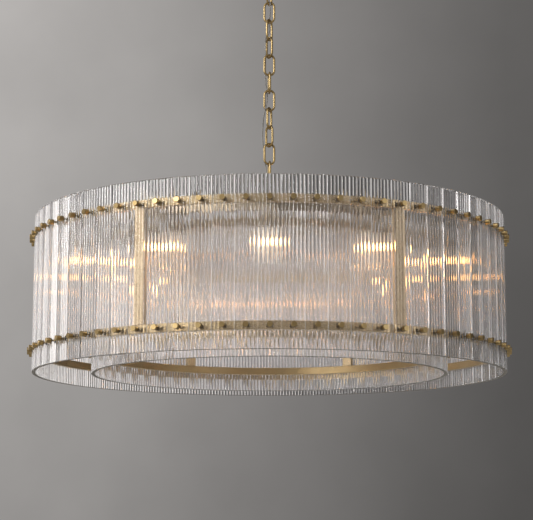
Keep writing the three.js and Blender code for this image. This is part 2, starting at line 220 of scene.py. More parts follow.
# Tones of the wall behind the object and of the room, by degrees to the right of straight back,
# and how they fall off with the height of the direction
WALL_TINT = (1, 0.96, 0.93)
WALL_TONES = [
    (-180, 0.26), (-60, 0.36), (-9, 0.45), (-5, 0.4), (0, 0.28), (5, 0.17), (9, 0.115),
    (60, 0.18), (180, 0.26),
]
WALL_FALL = [(0, 0.67), (0.1, 0.79), (0.2, 0.94), (0.32, 1)]
ROOM_TONES = [
    (-180, 0.4), (-150, 0.4), (-128, 0.12), (-122, 1), (-96, 1), (-90, 0.4), (-68, 0.4),
    (-64, 1.4), (-44, 1.4), (-41, 0.65), (-36, 0.65), (-33, 1), (-19, 1), (-14, 0.28),
    (-5, 0.22), (5, 0.1), (12, 0.05), (22, 0.04), (26, 0.4), (32, 0.4), (36, 0.03), (50, 0.03),
    (54, 0.3), (62, 0.3), (68, 0.06), (98, 0.06), (108, 0.8), (128, 0.8), (150, 0.3),
    (180, 0.4),
]
ROOM_FALL = [(-1, 0.1), (-0.3, 0.2), (0, 0.66), (0.1, 0.84), (0.2, 0.95), (0.5, 1), (1, 0.5)]
DIFFUSE_STRENGTH = 2  # of the room on matt surfaces


# Mesh helpers
class Shape:
    """Points and faces gathered from several forms."""

    def __init__(self):
        self.points = []
        self.faces = []
        self.finishes = []

    def add(self, form, matrix=Matrix.Identity(4), finishes=()):
        """Adds a form. Finishes are (face, material) numbers for faces not of the first material."""
        points, faces = form
        base = len(self.points)
        self.finishes += [(len(self.faces) + index, finish) for index, finish in finishes]
        self.points += [matrix @ Vector(point) for point in points]
        self.faces += [[base + index for index in face] for face in faces]
        return self


def about_axis(degrees):
    return Matrix.Rotation(math.radians(degrees), 4, "Z")


def lathe(profile, steps=48):
    """A turned form from (radius, level) points, in order. A point on the axis closes an end."""
    points = []
    rows = []
    for radius, level in profile:
        if radius == 0:
            rows.append([len(points)] * steps)
            points.append((0, 0, level))
            continue
        rows.append([len(points) + step for step in range(steps)])
        for step in range(steps):
            turn = 2 * math.pi * step / steps
            points.append((radius * math.cos(turn), radius * math.sin(turn), level))
    faces = []
    for first, second in zip(rows, rows[1:]):
        for step in range(steps):
            after = (step + 1) % steps
            face = [first[step], first[after], second[after], second[step]]
            face = list(dict.fromkeys(face))
            if len(face) > 2:
                faces.append(face)
    return points, faces


# The number of a ring profile's side that faces the axis
INNER_FACE = 4


def ring_profile(outside, inside, bottom, top, edge):
    """A closed bar section with eased edges."""
    section = [
        (outside, bottom + edge),
        (outside, top - edge),
        (outside - edge, top),
        (inside + edge, top),
        (inside, top - edge),
        (inside, bottom + edge),
        (inside + edge, bottom),
        (outside - edge, bottom),
    ]
    return section + section[:1]


def block(width, depth, height, edge):
    """A bar with eased edges, centred on the origin."""
    mesh = bmesh.new()
    bmesh.ops.create_cube(mesh, size=1, matrix=Matrix.Diagonal((width, depth, height, 1)))
    bmesh.ops.bevel(mesh, geom=mesh.edges[:], offset=edge, segments=2, affect="EDGES", profile=0.6)
    mesh.verts.index_update()
    points = [vertex.co.copy() for vertex in mesh.verts]
    faces = [[vertex.index for vertex in face.verts] for face in mesh.faces]
    mesh.free()
    return points, faces


def sweep(path, radius, sides=16, closed=False):
    """A round wire along a list of points, with its frame carried along without twist."""
    path = [Vector(point) for point in path]
    count = len(path)
    rows = []
    normal = None
    points = []
    for index, point in enumerate(path):
        after = path[(index + 1) % count] if closed or index < count - 1 else point
        before = path[index - 1] if closed or index > 0 else point
        tangent = (after - before).normalized()
        if normal is None:
            normal = tangent.orthogonal().normalized()
        normal = (normal - tangent * normal.dot(tangent)).normalized()
        side = tangent.cross(normal)
        rows.append([len(points) + corner for corner in range(sides)])
        for corner in range(sides):
            turn = 2 * math.pi * corner / sides
            points.append(point + radius * (math.cos(turn) * normal + math.sin(turn) * side))
    faces = []
    pairs = list(zip(rows, rows[1:]))
    if closed:
        end = points[rows[-1][0]]
        offset = min(range(sides), key=lambda corner: (end - points[rows[0][corner]]).length)
        pairs.append((rows[-1], rows[0][offset:] + rows[0][:offset]))
    for first, second in pairs:
        for corner in range(sides):
            after = (corner + 1) % sides
            faces.append([first[corner], first[after], second[after], second[corner]])
    if not closed:
        faces.append(rows[0][::-1])
        faces.append(rows[-1])
    return points, faces


def piece(name, shape, material, body, nodes=(), smooth=40, others=()):
    """A finished mesh that rides on a body and stands for the solids named."""
    mesh = bpy.data.meshes.new(name)
    mesh.from_pydata(shape.points, [], shape.faces)
    for index, finish in shape.finishes:
        mesh.polygons[index].material_index = finish
    work = bmesh.new()
    work.from_mesh(mesh)
    bmesh.ops.recalc_face_normals(work, faces=work.faces)
    work.to_mesh(mesh)
    work.free()
    mesh.shade_smooth()
    mesh.set_sharp_from_angle(angle=math.radians(smooth))
    for finish in (material, *others):
        mesh.materials.append(finish)
    item = bpy.data.objects.new(name, mesh)
    bpy.context.scene.collection.objects.link(item)
    if body:
        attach(item, body)
    if nodes:
        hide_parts(*nodes)
    return item


# Material helpers
class Nodes:
    """Short ways to add and join nodes in one material."""

    def __init__(self, name):
        self.material = bpy.data.materials.new(name)
        self.material.use_nodes = True
        self.tree = self.material.node_tree
        self.shader = self.tree.nodes["Principled BSDF"]
        self.output = self.tree.nodes["Material Output"]
        self.place = self.add("ShaderNodeTexCoord").outputs["Object"]

    def add(self, kind):
        return self.tree.nodes.new(kind)

    def join(self, source, target):
        self.tree.links.new(source, target)

    def noise(self, scale, detail=3, stretch=(1, 1, 1)):
        """Noise in object space, drawn out by unequal stretch factors."""
        mapping = self.add("ShaderNodeMapping")
        mapping.inputs["Scale"].default_value = stretch
        self.join(self.place, mapping.inputs["Vector"])
        texture = self.add("ShaderNodeTexNoise")
        texture.inputs["Scale"].default_value = scale
        texture.inputs["Detail"].default_value = detail
        self.join(mapping.outputs["Vector"], texture.inputs["Vector"])
        return texture.outputs["Fac"]

    def ramp(self, source, stops):
        """A colour ramp with (place, colour) stops."""
        node = self.add("ShaderNodeValToRGB")
        elements = node.color_ramp.elements
        while len(elements) < len(stops):
            elements.new(0.5)
        for element, (place, colour) in zip(elements, stops):
            element.position = place
            element.color = (*colour, 1)
        self.join(source, node.inputs["Fac"])
        return node.outputs["Color"]

    def span(self, source, lowest, highest, start=0.3, end=0.7):
        """The source's range from start to end, mapped to lowest to highest."""
        node = self.add("ShaderNodeMapRange")
        node.inputs["From Min"].default_value = start
        node.inputs["From Max"].default_value = end
        node.inputs["To Min"].default_value = lowest
        node.inputs["To Max"].default_value = highest
        self.join(source, node.inputs["Value"])
        return node.outputs["Result"]

    def bump(self, source, strength, distance):
        node = self.add("ShaderNodeBump")
        node.inputs["Strength"].default_value = strength
        node.inputs["Distance"].default_value = distance
        self.join(source, node.inputs["Height"])
        self.join(node.outputs["Normal"], self.shader.inputs["Normal"])

    def colour(self, source):
        self.join(source, self.shader.inputs["Base Color"])

    def rough(self, source):
        self.join(source, self.shader.inputs["Roughness"])

    def surface(self):
        """What reaches the output so far."""
        return self.output.inputs["Surface"].links[0].from_socket

    def blend_in(self, share, other):
        """Mixes another shader in by a number or by the output of a node."""
        mix = self.add("ShaderNodeMixShader")
        if isinstance(share, float):
            mix.inputs["Fac"].default_value = share
        else:
            self.join(share, mix.inputs["Fac"])
        self.join(self.surface(), mix.inputs[1])
        self.join(other, mix.inputs[2])
        self.join(mix.outputs["Shader"], self.output.inputs["Surface"])

    def scatter(self, colour, share):
        """Lets a share of the light glow through the surface."""
        glow = self.add("ShaderNodeBsdfTranslucent")
        glow.inputs["Color"].default_value = (*colour, 1)
        self.blend_in(share, glow.outputs["BSDF"])

    def open_to_lamps(self, colour):
        """Lets lamp light through to what the surface covers."""
        clear = self.add("ShaderNodeBsdfTransparent")
        clear.inputs["Color"].default_value = (*colour, 1)
        rays = self.add("ShaderNodeLightPath")
        self.blend_in(rays.outputs["Is Shadow Ray"], clear.outputs["BSDF"])


def metal(name, dark, light, roughness, grain_stretch=(1, 1, 1), grain_scale=240):
    """Satin metal: slow tone drift, fine grain in its shine and hairline marks."""
    nodes = Nodes(name)
    nodes.shader.inputs["Metallic"].default_value = 1
    tone = nodes.noise(9, detail=5)
    nodes.colour(nodes.ramp(tone, [(0.34, dark), (0.68, light)]))
    grain = nodes.noise(grain_scale, detail=2, stretch=grain_stretch)
    nodes.rough(nodes.span(grain, roughness - 0.06, roughness + 0.08))
    nodes.bump(grain, strength=0.04, distance=0.2 * MM)
    return nodes.material


def fluted_glass(name, clarity):
    """Glass that lets lamp light through to what it covers. What isn't clear in it glows milky."""
    nodes = Nodes(name)
    shader = nodes.shader
    shader.inputs["Base Color"].default_value = (0.99, 0.98, 0.985, 1)
    shader.inputs["Transmission Weight"].default_value = clarity
    shader.inputs["IOR"].default_value = GLASS_IOR
    drift = nodes.noise(60, stretch=(1, 1, 0.12))
    nodes.rough(nodes.span(drift, 0.0, 0.004))
    nodes.open_to_lamps(GLASS_SHADOW_TINT)
    return nodes.material


def ground_edge():
    """Ground edge of a glass panel: whitish, and dull enough to catch light from either side."""
    nodes = Nodes("ground_edge")
    shader = nodes.shader
    shader.inputs["IOR"].default_value = GLASS_IOR
    grain = nodes.noise(220, stretch=(1, 1, 0.15))
    nodes.colour(nodes.ramp(grain, [(0.3, (0.6, 0.6, 0.61)), (0.7, (0.72, 0.72, 0.73))]))
    nodes.rough(nodes.span(grain, 0.25, 0.45))
    nodes.scatter((0.75, 0.75, 0.75), 0.5)
    nodes.open_to_lamps(GLASS_SHADOW_TINT)
    return nodes.material


def sawn_end():
    """Sawn lower end of a glass panel, which looks grey."""
    nodes = Nodes("sawn_end")
    grain = nodes.noise(260)
    nodes.colour(nodes.ramp(grain, [(0.3, (0.14, 0.13, 0.105)), (0.7, (0.26, 0.245, 0.21))]))
    nodes.rough(nodes.span(grain, 0.4, 0.6))
    nodes.open_to_lamps((0.6, 0.6, 0.6))
    return nodes.material


def lit_glass():
    """Frosted bulb glass, brightest at the height of the filament."""
    nodes = Nodes("lit_glass")
    nodes.shader.inputs["Base Color"].default_value = (0.9, 0.82, 0.7, 1)
    nodes.shader.inputs["Roughness"].default_value = 0.3
    split = nodes.add("ShaderNodeSeparateXYZ")
    nodes.join(nodes.place, split.inputs["Vector"])
    tip = HOLDER_MOUTH - BULB_LENGTH
    height = nodes.span(split.outputs["Z"], 0, 1, tip, HOLDER_MOUTH)
    faint, dim, filament = (0.004, 0.002, 0.001), (0.016, 0.009, 0.004), (1, 0.46, 0.13)
    glow = nodes.ramp(height, [
        (0.0, faint), (0.46, dim), (0.55, filament), (0.61, filament), (0.7, dim), (1.0, faint),
    ])
    nodes.join(glow, nodes.shader.inputs["Emission Color"])
    nodes.shader.inputs["Emission Strength"].default_value = BULB_GLOW
    return nodes.material


def sleeve():
    """Grey plastic sleeve with a slightly cloudy surface."""
    nodes = Nodes("cord_sleeve")
    tone = nodes.noise(160, stretch=(1, 1, 0.2))
    nodes.colour(nodes.ramp(tone, [(0.35, (0.12, 0.115, 0.105)), (0.65, (0.3, 0.29, 0.27))]))
    nodes.rough(nodes.span(tone, 0.28, 0.42))
    nodes.bump(tone, strength=0.1, distance=0.2 * MM)
    return nodes.material


def rubber():
    """Dark soft washer."""
    nodes = Nodes("washer_rubber")
    tone = nodes.noise(400, detail=2)
    nodes.colour(nodes.ramp(tone, [(0.3, (0.035, 0.032, 0.03)), (0.7, (0.07, 0.065, 0.06))]))
    nodes.rough(nodes.span(tone, 0.55, 0.7))
    return nodes.material


# Stretch of the grain where the brushing runs round a hoop or up a post
ROUND_HOOP = (1, 1, 14)
UP_POST = (14, 14, 1)

BRASS = metal("satin_brass", (0.37, 0.265, 0.12), (0.47, 0.35, 0.17), 0.32, grain_scale=900)
RING_BRASS = metal("ring_brass", (0.24, 0.19, 0.13), (0.33, 0.27, 0.19), 0.38)
# Darker copy of the hoop brass for the hoops' faces towards the axis: painted shade
PAINTED_SHADE_BRASS = metal("inner_face_painted_shade_brass", (0.34, 0.25, 0.13), (0.44, 0.33, 0.18), 0.32, ROUND_HOOP, 130)
HOOP_BRASS = metal("brushed_brass", (0.52, 0.4, 0.22), (0.62, 0.48, 0.29), 0.26, ROUND_HOOP, 130)
POST_BRASS = metal("upright_brass", (0.46, 0.35, 0.21), (0.6, 0.48, 0.32), 0.3, UP_POST, 130)
AGED_BRASS = metal("aged_brass", (0.3, 0.2, 0.09), (0.46, 0.33, 0.16), 0.36)
ZINC = metal("zinc_steel", (0.42, 0.42, 0.41), (0.58, 0.58, 0.57), 0.42)
OUTER_GLASS = fluted_glass("outer_glass", 0.99)
INNER_GLASS = fluted_glass("inner_glass", 0.94)
GLASS_EDGE = ground_edge()
GLASS_END = sawn_end()
LIT = lit_glass()
SLEEVE = sleeve()
RUBBER = rubber()

make_camera()

# The cord's route, the same as the solid's, in millimetres
CORD_ROUTE = [
    (0, 0, -32),
    (0, 0, -46),
    (0, 0, -57),
    (1.2, -2.4, -65),
    (2.6, -6.2, -74),
    (2.8, -7.8, -86),
    (2.2, -7.8, -104),
    (2.2, -7.6, -126),
    (2.6, -5.8, -143),
    (2.6, -0.8, -157),
    (1.2, 4.6, -168),
    (-1, 8.8, -178),
    (-0.4, 10.8, -190),
    (0.2, 11.4, -202),
    (-1.2, 11, -209),
    (-4.8, 9, -217),
    (-9.4, 5.2, -226),
    (-10.4, 4, -240),
    (-9.8, 4.6, -266),
    (-10.4, 6.4, -290),
    (-10.4, 6.8, -318),
    (-9.6, 6.8, -346),
    (-7, 6, -370),
    (-5.4, 2.8, -388),
    (-6.4, -2.6, -404),
    (-10, -5.6, -421),
    (-13.6, -4.8, -437),
    (-16.4, -1.6, -455),
    (-18, 1.4, -483),
    (-17.8, 3.2, -508),
    (-15.6, 4.8, -530),
    (-12.2, 6.4, -556),
    (-9.4, 7, -582),
    (-7.6, 7, -605),
    (-6.2, 6, -620),
    (-2.2, 2, -632.5),
    (-0.2, 0.2, -641),
    (0, 0, -649),
    (0, 0, -660),
    (0, 0, -672),
]


def smooth_route(points, steps=6):
    """A curve through the points, with the tangent at each from its neighbours."""
    points = [Vector(point) * MM for point in points]
    padded = points[:1] + points + points[-1:]
    route = []
    for index in range(len(points) - 1):
        before, start, end, after = padded[index:index + 4]
        reach = (end - start).length
        leave = (end - before).normalized() * reach
        arrive = (after - start).normalized() * reach
        for step in range(steps):
            t = step / steps
            route.append(
                start * (2 * t**3 - 3 * t**2 + 1)
                + leave * (t**3 - 2 * t**2 + t)
                + end * (3 * t**2 - 2 * t**3)
                + arrive * (t**3 - t**2)
            )
    return route + points[-1:]


def cord():
    """One stretch for each chain joint. A stretch starts and ends half way along a link."""
    route = smooth_route(CORD_ROUTE)
    cuts = [0]
    for joint in range(LINKS):
        level = pivot(joint) - LINK_PITCH / 2
        after = next(index for index, point in enumerate(route) if point.z < level)
        above, below = route[after - 1], route[after]
        route.insert(after, above.lerp(below, (above.z - level) / (above.z - below.z)))
        cuts.append(after)
    cuts.append(len(route) - 1)
    for joint in range(LINKS + 1):
        stretch = route[cuts[joint]:cuts[joint + 1] + 1]
        tube = Shape().add(sweep(stretch, CORD_DIAMETER / 2))
        nodes = ["lamp_cord"] if joint == 0 else []
        item = piece(f"lamp_cord_{joint + 1:02d}", tube, SLEEVE, None, nodes)
        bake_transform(item)


def link_path(length, width, steps=16):
    """Centre line of a link in its own upright plane: two half circles and two sides."""
    bow = width / 2
    half = (length - width) / 2
    path = []
    for middle, first in ((half, 0), (-half, math.pi)):
        for step in range(steps + 1 if half > 0 else steps):
            turn = first + math.pi * step / steps
            path.append(Vector((bow * math.cos(turn), 0, middle + bow * math.sin(turn))))
        if half > 0:
            side = Vector((math.copysign(bow, -math.cos(first)), 0, 0))
            for share in (0.25, 0.5, 0.75):
                path.append(side + Vector((0, 0, middle * (1 - 2 * share))))
    return path


def chain():
    """Bent wire links with a butt weld in the middle of one side."""
    path = link_path(LINK_LENGTH - 2 * WIRE_RADIUS, LINK_WIDTH - 2 * WIRE_RADIUS)
    band = ring_profile(WIRE_RADIUS, WIRE_RADIUS * 0.9, -WELD_WIDTH / 2, WELD_WIDTH / 2, WELD_EDGE)
    weld = Matrix.Translation((LINK_WIDTH / 2 - WIRE_RADIUS, 0, 0))
    wire = Shape()
    wire.add(sweep(path, WIRE_RADIUS * WIRE_SHARE, closed=True))
    wire.add(lathe(band, steps=16), weld)
    for link in range(LINKS):
        middle = pivot(link + 1) + LINK_LENGTH / 2 - WIRE_RADIUS
        place = Matrix.Translation((0, 0, middle)) @ about_axis(LINK_YAWS[link])
        placed = Shape().add((wire.points, wire.faces), place)
        name = f"link_{link + 1:02d}"
        piece(f"chain_{name}_wire", placed, BRASS, name, [f"chain_{name}"])


def loop(name, node, body, base_level, up):
    """A ring on a turned base. The ring points down from the canopy and up from the hub."""
    shape = Shape()
    ring_width = LOOP_WIDTH - 2 * WIRE_RADIUS
    middle = LOOP_BASE_HEIGHT - LOOP_WELD + LOOP_WIDTH / 2
    ring = sweep(link_path(ring_width, ring_width, steps=24), WIRE_RADIUS, closed=True)
    shape.add(ring, Matrix.Translation((0, 0, middle)))
    radius = LOOP_BASE_RADIUS
    shape.add(lathe([
        (STEM_RADIUS, 0),
        (radius * 0.94, 0),
        (radius, LOOP_BASE_EDGE),
        (radius, LOOP_BASE_HEIGHT * 0.55),
        (radius * 0.94, LOOP_BASE_HEIGHT * 0.6),
        (radius * 0.94, LOOP_BASE_HEIGHT * 0.66),
        (radius * 0.86, LOOP_BASE_HEIGHT * 0.8),
        (radius * 0.7, LOOP_BASE_HEIGHT * 0.97),
        (CORD_DIAMETER * 0.6, LOOP_BASE_HEIGHT),
        (STEM_RADIUS, 0),
    ]))
    flip = Matrix.Identity(4) if up else Matrix.Rotation(math.pi, 4, "X")
    placed = Shape().add((shape.points, shape.faces), Matrix.Translation((0, 0, base_level)) @ flip)
    piece(name, placed, BRASS, body, [node])


def panel(crest, count):
    """Section of one panel as (across, out) points: rounded flutes in front, flat behind."""
    groove = crest - RIB_HEIGHT
    band_end = groove - GROUND_BAND
    back = groove - GLASS_WALL
    width, band_width, back_width = [
        2 * out * math.tan(math.pi / count) - PANEL_JOINT for out in (groove, band_end, back)
    ]
    flute = width / FLUTES
    radius = (flute**2 / 4 + RIB_HEIGHT**2) / (2 * RIB_HEIGHT)
    half = math.asin(flute / 2 / radius)
    section = []
    for index in range(FLUTES):
        middle = (index + 0.5) * flute - width / 2
        for step in range(RIB_STEPS):
            turn = half * (2 * step / RIB_STEPS - 1)
            section.append((middle + radius * math.sin(turn), crest - radius + radius * math.cos(turn)))
    return section + [
        (width / 2, groove),
        (band_width / 2, band_end),
        (back_width / 2, back),
        (-back_width / 2, back),
        (-band_width / 2, band_end),
    ]


# The numbers of a panel's finishes after its clear glass
GROUND = 1
SAWN = 2


def panel_form(crest, count, bottom, top):
    """A panel as a closed form with eased ends, facing the front, and the finishes of its faces."""
    section = panel(crest, count)
    depth = RIB_HEIGHT + GLASS_WALL
    middle = crest - depth / 2
    across = section[-3][0]
    rows = ((bottom, True), (bottom + PANEL_EDGE, False), (top - PANEL_EDGE, False), (top, True))
    points = []
    for level, eased in rows:
        wide = 1 - PANEL_EDGE / across if eased else 1
        thick = 1 - 2 * PANEL_EDGE / depth if eased else 1
        points += [(x * wide, -(middle + (out - middle) * thick), level) for x, out in section]
    size = len(section)
    ground_bands = (size - 5, size - 1)
    fluted_end = [*range(size - 3), size - 1]
    plain_end = [*range(size - 4, size)]
    faces = [fluted_end, plain_end]
    finishes = [(0, SAWN), (1, SAWN)]
    faces += [[3 * size + index for index in reversed(face)] for face in faces]
    for row in range(3):
        for index in range(size):
            after = (index + 1) % size
            base = row * size
            if index in ground_bands:
                finishes.append((len(faces), GROUND))
            elif row == 0:
                finishes.append((len(faces), SAWN))
            faces.append([base + index, base + after, base + size + after, base + size + index])
    return (points, faces), finishes


def drum(name, crest, count, sectors, top, glass):
    """All the panels of one drum, gathered by the sectors of the solids."""
    form, finishes = panel_form(crest, count, RIM, top)
    per_sector = count // sectors
    for sector in range(sectors):
        first = math.floor((sector - 0.5) * per_sector + 0.5) + 1
        shape = Shape()
        for index in range(first, first + per_sector):
            shape.add(form, about_axis(360 / count * index), finishes)
        node = f"{name}_glass_{sector + 1}"
        panels = f"{name}_panels_{sector + 1}"
        edges = (GLASS_EDGE, GLASS_END)
        piece(panels, shape, glass, "lamp", [node], smooth=30, others=edges)


def outward(level, degrees):
    """A frame whose local Z points out from the axis of the lamp at a level and an angle."""
    turn = Matrix.Rotation(math.radians(90), 4, "X")
    return about_axis(degrees) @ Matrix.Translation((0, 0, level)) @ turn


def knobs(name, crest, count, levels):
    """A turned brass knob, a soft washer and a stud for each end of each panel."""
    seat = crest + WASHER_THICKNESS
    end = seat + KNOB_LENGTH
    inner_end = crest - RIB_HEIGHT - GLASS_WALL - BAR_DEPTH / 2
    head = lathe([
        (0, end),
        (KNOB_RADIUS - KNOB_EDGE, end),
        (KNOB_RADIUS, end - KNOB_EDGE),
        (KNOB_RADIUS, seat + KNOB_FOOT),
        (KNOB_RADIUS * 0.95, seat),
        (STUD_RADIUS, seat),
        (STUD_RADIUS, inner_end),
        (0, inner_end),
    ], steps=20)
    rim = KNOB_RADIUS * 1.02
    profile = ring_profile(rim, STUD_RADIUS, crest - WASHER_REACH, seat, WASHER_EDGE)
    washer = lathe(profile, steps=20)
    heads = Shape()
    washers = Shape()
    for level in levels:
        for index in range(count):
            place = outward(level, 360 / count * index)
            heads.add(head, place)
            washers.add(washer, place)
    piece(f"{name}_knobs", heads, BRASS, "lamp")
    piece(f"{name}_washers", washers, RUBBER, "lamp")


def hoops(name, face, upper, steps):
    """Flat hoops with eased edges, their faces towards the axis in a darker brass that is painted
    shade, and the upright posts between them.
    """
    for place, level in (("top", upper), ("bottom", LOWER_HOOP)):
        bottom = level - BAR_HEIGHT / 2
        profile = ring_profile(face, face - BAR_DEPTH, bottom, bottom + BAR_HEIGHT, BAR_EDGE)
        # The faces towards the axis take the darker brass, which paints the shade there
        painted_shade_faces = [(INNER_FACE * steps + step, 1) for step in range(steps)]
        shape = Shape().add(lathe(profile, steps), finishes=painted_shade_faces)
        nodes = [f"{name}_{place}_hoop"]
        piece(f"{name}_{place}_hoop_bar", shape, HOOP_BRASS, "lamp", nodes, others=(PAINTED_SHADE_BRASS,))
    for post in range(1, POSTS + 1):
        node = frame["nodes"][f"{name}_post_{post}"]
        node.data.materials.clear()
        node.data.materials.append(POST_BRASS)
        ease = node.modifiers.new("eased_edges", "BEVEL")
        ease.width = BAR_EDGE
        ease.segments = 2


def lamp_ring():
    """The ring with its lugs and turned lampholders."""
    shape = Shape()
    low_edge = OUTER_UPPER_HOOP - BAR_HEIGHT / 2
    face = LAMP_RING_FACE
    profile = ring_profile(face, face - LAMP_RING_DEPTH, low_edge, low_edge + BAR_HEIGHT, BAR_EDGE)
    shape.add(lathe(profile, steps=180))
    top = OUTER_UPPER_HOOP + LUG_HEIGHT / 2
    for lamp in range(LAMPS):
        degrees = 360 / LAMPS * lamp
        reach = OUTER_HOOP_FACE - BAR_DEPTH if lamp % 2 else LAMP_RADIUS + HOLDER_RADIUS
        length = reach - face + OVERLAP
        lug = block(LUG_WIDTH, length, LUG_HEIGHT, BAR_EDGE)
        middle = Matrix.Translation((0, -(reach + face - OVERLAP) / 2, top))
        shape.add(lug, about_axis(degrees) @ middle)
        holder = lathe([
            (0, HOLDER_MOUTH + HOLDER_SOCKET),
            (BULB_NECK * 1.05, HOLDER_MOUTH + HOLDER_SOCKET),
            (BULB_NECK * 1.1, HOLDER_MOUTH),
            (HOLDER_RADIUS * 0.93, HOLDER_MOUTH),
            (HOLDER_RADIUS, HOLDER_MOUTH + HOLDER_EDGE),
            (HOLDER_RADIUS, HOLDER_MOUTH + HOLDER_LIP - HOLDER_EDGE),
            (HOLDER_RADIUS * 0.9, HOLDER_MOUTH + HOLDER_LIP),
            (HOLDER_RADIUS * 0.9, HOLDER_MOUTH + HOLDER_HEIGHT * 0.86),
            (HOLDER_RADIUS * 0.78, HOLDER_MOUTH + HOLDER_HEIGHT * 0.97),
            (0, HOLDER_MOUTH + HOLDER_HEIGHT),
        ], steps=28)
        shape.add(holder, about_axis(degrees) @ Matrix.Translation((0, -LAMP_RADIUS, 0)))
    piece("lamp_ring_bar", shape, RING_BRASS, "lamp", ["lamp_ring"])


def bulbs():
    """Candle bulbs that hang tip down."""
    tip = HOLDER_MOUTH - BULB_LENGTH
    shares = [
        (0, 0), (0.16, 0.012), (0.3, 0.05), (0.5, 0.13), (0.7, 0.24), (0.87, 0.37),
        (0.97, 0.5), (1, 0.6), (0.96, 0.7), (0.85, 0.8), (0.66, 0.9), (0.46, 0.98),
    ]
    profile = [(BULB_RADIUS * radius, tip + BULB_LENGTH * height) for radius, height in shares]
    base = HOLDER_MOUTH + BULB_SEAT
    profile += [(BULB_NECK, HOLDER_MOUTH), (BULB_NECK, base), (0, base)]
    form = lathe(profile, steps=28)
    for lamp in range(LAMPS):
        place = about_axis(360 / LAMPS * lamp) @ Matrix.Translation((0, -LAMP_RADIUS, 0))
        node = f"lamp_bulb_{lamp + 1:02d}"
        piece(f"{node}_glass", Shape().add(form, place), LIT, "lamp", [node])


def spider():
    """The hub with its arms and the tabs that hold the inner hoop and the lamp ring."""
    hub_bottom = high("hub_finial").z + SEAT_GAP
    hub_top = high("arm_spider").z
    arm_low = INNER_TOP + ARM_LIFT
    arm_high = arm_low + ARM_HEIGHT
    shape = Shape()
    shape.add(lathe([
        (STEM_RADIUS, hub_bottom),
        (HUB_RADIUS * 0.68, hub_bottom),
        (HUB_RADIUS * 0.72, hub_bottom + HUB_EDGE),
        (HUB_RADIUS * 0.97, arm_low - 2 * HUB_EDGE),
        (HUB_RADIUS, arm_low - HUB_EDGE),
        (HUB_RADIUS, arm_high + HUB_EDGE),
        (HUB_RADIUS * 0.96, arm_high + 2 * HUB_EDGE),
        (HUB_RADIUS * 0.6, hub_top - 3 * HUB_EDGE),
        (HUB_RADIUS * 0.42, hub_top - HUB_EDGE / 2),
        (HUB_RADIUS * 0.4, hub_top),
        (STEM_RADIUS, hub_top),
        (STEM_RADIUS, hub_bottom),
    ], steps=72))
    reach = LAMP_RING_FACE - HUB_RADIUS / 2
    arm = block(ARM_WIDTH, reach, ARM_HEIGHT, BAR_EDGE)
    arm_middle = (LAMP_RING_FACE + HUB_RADIUS / 2) / 2
    arm_place = Matrix.Translation((0, -arm_middle, (arm_low + arm_high) / 2))
    tabs = (
        (INNER_HOOP_FACE, BAR_DEPTH, INNER_UPPER_HOOP + BAR_HEIGHT / 2),
        (LAMP_RING_FACE, LAMP_RING_DEPTH, OUTER_UPPER_HOOP + BAR_HEIGHT / 2),
    )
    for index in range(POSTS):
        turn = about_axis(360 / POSTS * (index + 0.5))
        shape.add(arm, turn @ arm_place)
        for face, depth, foot in tabs:
            height = arm_low + OVERLAP - foot
            tab = block(ARM_WIDTH, depth, height, BAR_EDGE)
            shape.add(tab, turn @ Matrix.Translation((0, -(face - depth / 2), foot + height / 2)))
    piece("arm_spider_body", shape, BRASS, "lamp", ["arm_spider"])


def finial():
    """The turned knob under the hub."""
    bottom = low("hub_finial").z
    height = high("hub_finial").z + SEAT_GAP - bottom
    radius = FINIAL_RADIUS
    form = lathe([
        (0, bottom),
        (radius * 0.16, bottom + height * 0.02),
        (radius * 0.34, bottom + height * 0.09),
        (radius * 0.46, bottom + height * 0.2),
        (radius * 0.4, bottom + height * 0.31),
        (radius * 0.34, bottom + height * 0.39),
        (radius * 0.44, bottom + height * 0.45),
        (radius * 0.84, bottom + height * 0.56),
        (radius * 0.98, bottom + height * 0.68),
        (radius, bottom + height * 0.78),
        (radius * 0.97, bottom + height * 0.97),
        (0, bottom + height * 0.985),
    ])
    piece("hub_finial_turned", Shape().add(form), AGED_BRASS, "lamp", ["hub_finial"])


def stem():
    """The tube that runs from the finial up into the hub loop's base."""
    top = HUB_LOOP_BASE + LOOP_BASE_HEIGHT / 2
    profile = ring_profile(STEM_RADIUS, STEM_BORE, low("hub_loop").z, top, STEM_EDGE)
    piece("stem_turned", Shape().add(lathe(profile, steps=32)), BRASS, "lamp", ["hub_loop"])


def canopy():
    """A spun dish with a short upright rim, open at the top."""
    bottom = low("ceiling_canopy").z
    drop_shares = [
        (0.3, 1), (0.44, 0.97), (0.58, 0.9), (0.7, 0.8), (0.8, 0.67), (0.88, 0.52),
        (0.95, 0.36), (0.985, 0.26), (0.99, 0.24), (1, 0.22), (1, 0.01), (0.996, 0),
    ]
    outside = [(CANOPY_RADIUS * share, bottom * drop) for share, drop in drop_shares]
    inside = [(x - CANOPY_WALL, min(z + CANOPY_WALL, 0)) for x, z in reversed(outside)]
    hole = [(CEILING_BORE, bottom + CANOPY_WALL), (CEILING_BORE, bottom)]
    shell = hole[1:] + outside + inside + hole
    dish = Shape().add(lathe(shell, steps=96))
    piece("ceiling_canopy_spun", dish, BRASS, "ceiling_mounting", ["ceiling_canopy"])


